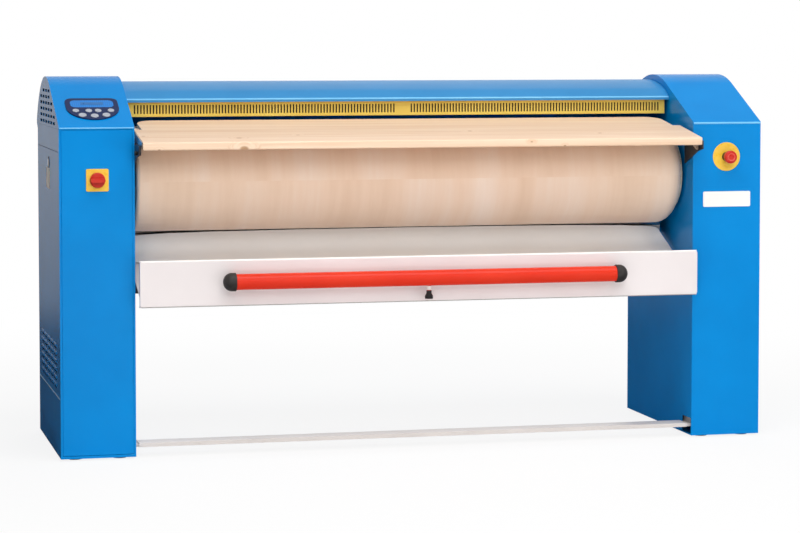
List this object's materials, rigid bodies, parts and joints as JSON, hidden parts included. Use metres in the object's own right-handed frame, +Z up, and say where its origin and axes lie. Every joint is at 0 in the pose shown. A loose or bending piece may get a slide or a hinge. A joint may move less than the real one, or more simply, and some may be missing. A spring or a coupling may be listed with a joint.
{
  "type": "flatwork ironer",
  "caption": "Floor-standing laundry roll ironer: padded roll between end cabinets, swinging heated chest, feed board, finger guard, delivery chute and foot bar.",
  "frame": {"origin": "on the floor, under the middle of the machine's bounding box", "axes": "+X along the roll to the operator's right, +Y from front to back, +Z up"},
  "size_m": [2.204, 0.8124, 1.136],
  "materials": {
    "shell_paint": "orange-peel powder coat, satin",
    "frame_paint": "dark grey enamel, satin",
    "tray_paint": "off-white powder coat, satin",
    "guard_paint": "yellow powder coat, satin",
    "bar_paint": "red powder coat, satin",
    "stainless": "brushed stainless sheet",
    "chest_steel": "ground and polished plate",
    "heater_sheath": "heat-tinted tube",
    "galvanised": "galvanised sheet, spangled",
    "core_steel": "bare rolled steel",
    "pin_steel": "turned and plated",
    "chain_steel": "oiled chain steel",
    "motor_casting": "painted casting, matt",
    "bearing_iron": "painted casting, matt",
    "impeller_alloy": "pressed sheet alloy",
    "softwood": "planed softwood board, clear lacquered",
    "roll_cotton": "cream woven cotton, matt",
    "roll_felt": "needled felt, matt",
    "cap_rubber": "moulded rubber, matt",
    "panel_navy": "printed film over moulding, satin",
    "display": "tinted clear window",
    "key_silver": "silver lacquered cap",
    "switch_yellow": "moulded plastic, satin",
    "switch_red": "moulded plastic, gloss",
    "switch_black": "moulded plastic, matt",
    "knob_dark": "moulded plastic, matt",
    "lock_chrome": "plated casting"
  },
  "bodies": {
    "frame": {"bar_bushes": "knob_dark", "beams_and_hangers": "frame_paint", "board_brackets": "tray_paint", "board_pivot_knobs": "pin_steel", "cable_gland": "knob_dark", "control_panel": "panel_navy", "delivery_chute": "tray_paint", "display_window": "display", "drive_chain": "chain_steel", "electrical_panel": "galvanised", "exhaust_fan": "galvanised", "hood": "shell_paint", "left_cabinet": "shell_paint", "left_front_panel": "shell_paint", "left_head_cover": "shell_paint", "levelling_feet": "cap_rubber", "pivot_pins": "pin_steel", "press_gearmotor": "motor_casting", "rear_cover": "shell_paint", "right_cabinet": "shell_paint", "right_head_cover": "shell_paint", "roll_gearmotor": "motor_casting", "shaft_bearings": "bearing_iron", "side_frames": "frame_paint", "suction_duct": "galvanised", "switch_blocks": "switch_black", "switch_plates": "switch_yellow"},
    "roll": {"roll_core": "core_steel", "roll_padding": "roll_felt", "roll_cloth": "roll_cotton", "roll_sprocket": "chain_steel"},
    "motor_sprocket": {"motor_sprocket": "chain_steel"},
    "chest": {"chest_trough": "chest_steel", "chest_heaters": "heater_sheath", "chest_cover": "galvanised", "chest_beam": "frame_paint", "chest_arms": "frame_paint"},
    "press_shaft": {"press_shaft": "core_steel"},
    "finger_guard": {"finger_guard": "guard_paint"},
    "board": {"feed_board": "softwood", "board_hinge_plates": "stainless"},
    "knee_bar": {"knee_bar": "bar_paint", "knee_bar_caps": "cap_rubber"},
    "bar_knob": {"bar_knob": "knob_dark"},
    "foot_bar": {"foot_bar": "stainless"},
    "main_switch_knob": {"main_switch_knob": "switch_red"},
    "stop_stem": {"stop_stem": "switch_black"},
    "stop_head": {"stop_head": "switch_red"},
    "left_door": {"left_service_door": "shell_paint"},
    "right_door": {"right_service_door": "shell_paint"},
    "left_door_lock": {"left_door_lock": "lock_chrome"},
    "right_door_lock": {"right_door_lock": "lock_chrome"},
    "fan_impeller": {"fan_impeller": "impeller_alloy"},
    "panel_key_1": {"panel_key_1": "key_silver"},
    "panel_key_2": {"panel_key_2": "key_silver"},
    "panel_key_3": {"panel_key_3": "key_silver"},
    "panel_key_4": {"panel_key_4": "key_silver"},
    "panel_key_5": {"panel_key_5": "key_silver"},
    "panel_key_6": {"panel_key_6": "key_silver"},
    "panel_key_7": {"panel_key_7": "key_silver"}
  },
  "joints": [
    {"name": "roll_spin", "type": "hinge", "parent": "frame", "child": "roll", "pos_m": [0, -0.09175, 0.8235], "axis": [1, 0, 0], "continuous": true},
    {"name": "motor_spin", "type": "hinge", "parent": "frame", "child": "motor_sprocket", "pos_m": [0.916, 0.04825, 0.47], "axis": [1, 0, 0], "continuous": true},
    {"name": "chest_swing", "type": "hinge", "parent": "frame", "child": "chest", "pos_m": [0, -0.13175, 0.5], "axis": [1, 0, 0], "range_deg": [0, 3.5]},
    {"name": "press_turn", "type": "hinge", "parent": "frame", "child": "press_shaft", "pos_m": [0, 0.21425, 0.728], "axis": [-1, 0, 0], "range_deg": [0, 180]},
    {"name": "guard_swing", "type": "hinge", "parent": "frame", "child": "finger_guard", "pos_m": [0, -0.04525, 1.0625], "axis": [1, 0, 0], "range_deg": [0, 20]},
    {"name": "board_tilt", "type": "hinge", "parent": "frame", "child": "board", "pos_m": [0, -0.34175, 0.915], "axis": [1, 0, 0], "range_deg": [0, 95]},
    {"name": "bar_press", "type": "slide", "parent": "frame", "child": "knee_bar", "axis": [0, 1, 0], "range_m": [0, 0.006], "stiffness_N_per_m": 2000, "springref_m": -0.008},
    {"name": "bar_knob_pull", "type": "slide", "parent": "knee_bar", "child": "bar_knob", "axis": [0, 0, -1], "range_m": [0, 0.005], "stiffness_N_per_m": 600, "springref_m": -0.005},
    {"name": "foot_press", "type": "hinge", "parent": "frame", "child": "foot_bar", "pos_m": [0, -0.03175, 0.062], "axis": [1, 0, 0], "range_deg": [0, 4], "stiffness_Nm_per_rad": 120, "springref_deg": -6.88},
    {"name": "main_switch_turn", "type": "hinge", "parent": "frame", "child": "main_switch_knob", "pos_m": [-0.987, -0.29175, 0.834], "axis": [0, 1, 0], "range_deg": [0, 90]},
    {"name": "stop_press", "type": "slide", "parent": "frame", "child": "stop_stem", "axis": [0, 1, 0], "range_m": [0, 0.006], "stiffness_N_per_m": 800, "springref_m": -0.003},
    {"name": "stop_twist", "type": "hinge", "parent": "stop_stem", "child": "stop_head", "pos_m": [0.986, -0.31775, 0.883], "axis": [0, 1, 0], "range_deg": [0, 45], "stiffness_Nm_per_rad": 0.05, "springref_deg": -5.73},
    {"name": "left_door_drop", "type": "hinge", "parent": "frame", "child": "left_door", "pos_m": [-1.093, 0.03325, 0.189], "axis": [0, -1, 0], "range_deg": [0, 90]},
    {"name": "right_door_drop", "type": "hinge", "parent": "frame", "child": "right_door", "pos_m": [1.093, 0.03325, 0.189], "axis": [0, 1, 0], "range_deg": [0, 90]},
    {"name": "left_lock_turn", "type": "hinge", "parent": "left_door", "child": "left_door_lock", "pos_m": [-1.1, 0.01125, 0.875], "axis": [1, 0, 0], "range_deg": [0, 90]},
    {"name": "right_lock_turn", "type": "hinge", "parent": "right_door", "child": "right_door_lock", "pos_m": [1.1, 0.01125, 0.875], "axis": [1, 0, 0], "range_deg": [0, 90]},
    {"name": "fan_spin", "type": "hinge", "parent": "frame", "child": "fan_impeller", "pos_m": [-0.999, 0.04825, 0.3], "axis": [1, 0, 0], "continuous": true},
    {"name": "key_1_press", "type": "slide", "parent": "frame", "child": "panel_key_1", "axis": [0, 0.4147, -0.91], "range_m": [0, 0.0009], "stiffness_N_per_m": 400, "springref_m": -0.0006},
    {"name": "key_2_press", "type": "slide", "parent": "frame", "child": "panel_key_2", "axis": [0, 0.4147, -0.91], "range_m": [0, 0.0009], "stiffness_N_per_m": 400, "springref_m": -0.0006},
    {"name": "key_3_press", "type": "slide", "parent": "frame", "child": "panel_key_3", "axis": [0, 0.4147, -0.91], "range_m": [0, 0.0009], "stiffness_N_per_m": 400, "springref_m": -0.0006},
    {"name": "key_4_press", "type": "slide", "parent": "frame", "child": "panel_key_4", "axis": [0, 0.4147, -0.91], "range_m": [0, 0.0009], "stiffness_N_per_m": 400, "springref_m": -0.0006},
    {"name": "key_5_press", "type": "slide", "parent": "frame", "child": "panel_key_5", "axis": [0, 0.4147, -0.91], "range_m": [0, 0.0009], "stiffness_N_per_m": 400, "springref_m": -0.0006},
    {"name": "key_6_press", "type": "slide", "parent": "frame", "child": "panel_key_6", "axis": [0, 0.4147, -0.91], "range_m": [0, 0.0009], "stiffness_N_per_m": 400, "springref_m": -0.0006},
    {"name": "key_7_press", "type": "slide", "parent": "frame", "child": "panel_key_7", "axis": [0, 0.4147, -0.91], "range_m": [0, 0.0009], "stiffness_N_per_m": 400, "springref_m": -0.0006}
  ],
  "couplings": [
    {"joint": "motor_spin", "follows": "roll_spin", "ratio": 2.7143},
    {"joint": "press_turn", "follows": "chest_swing", "ratio": 51.429}
  ]
}
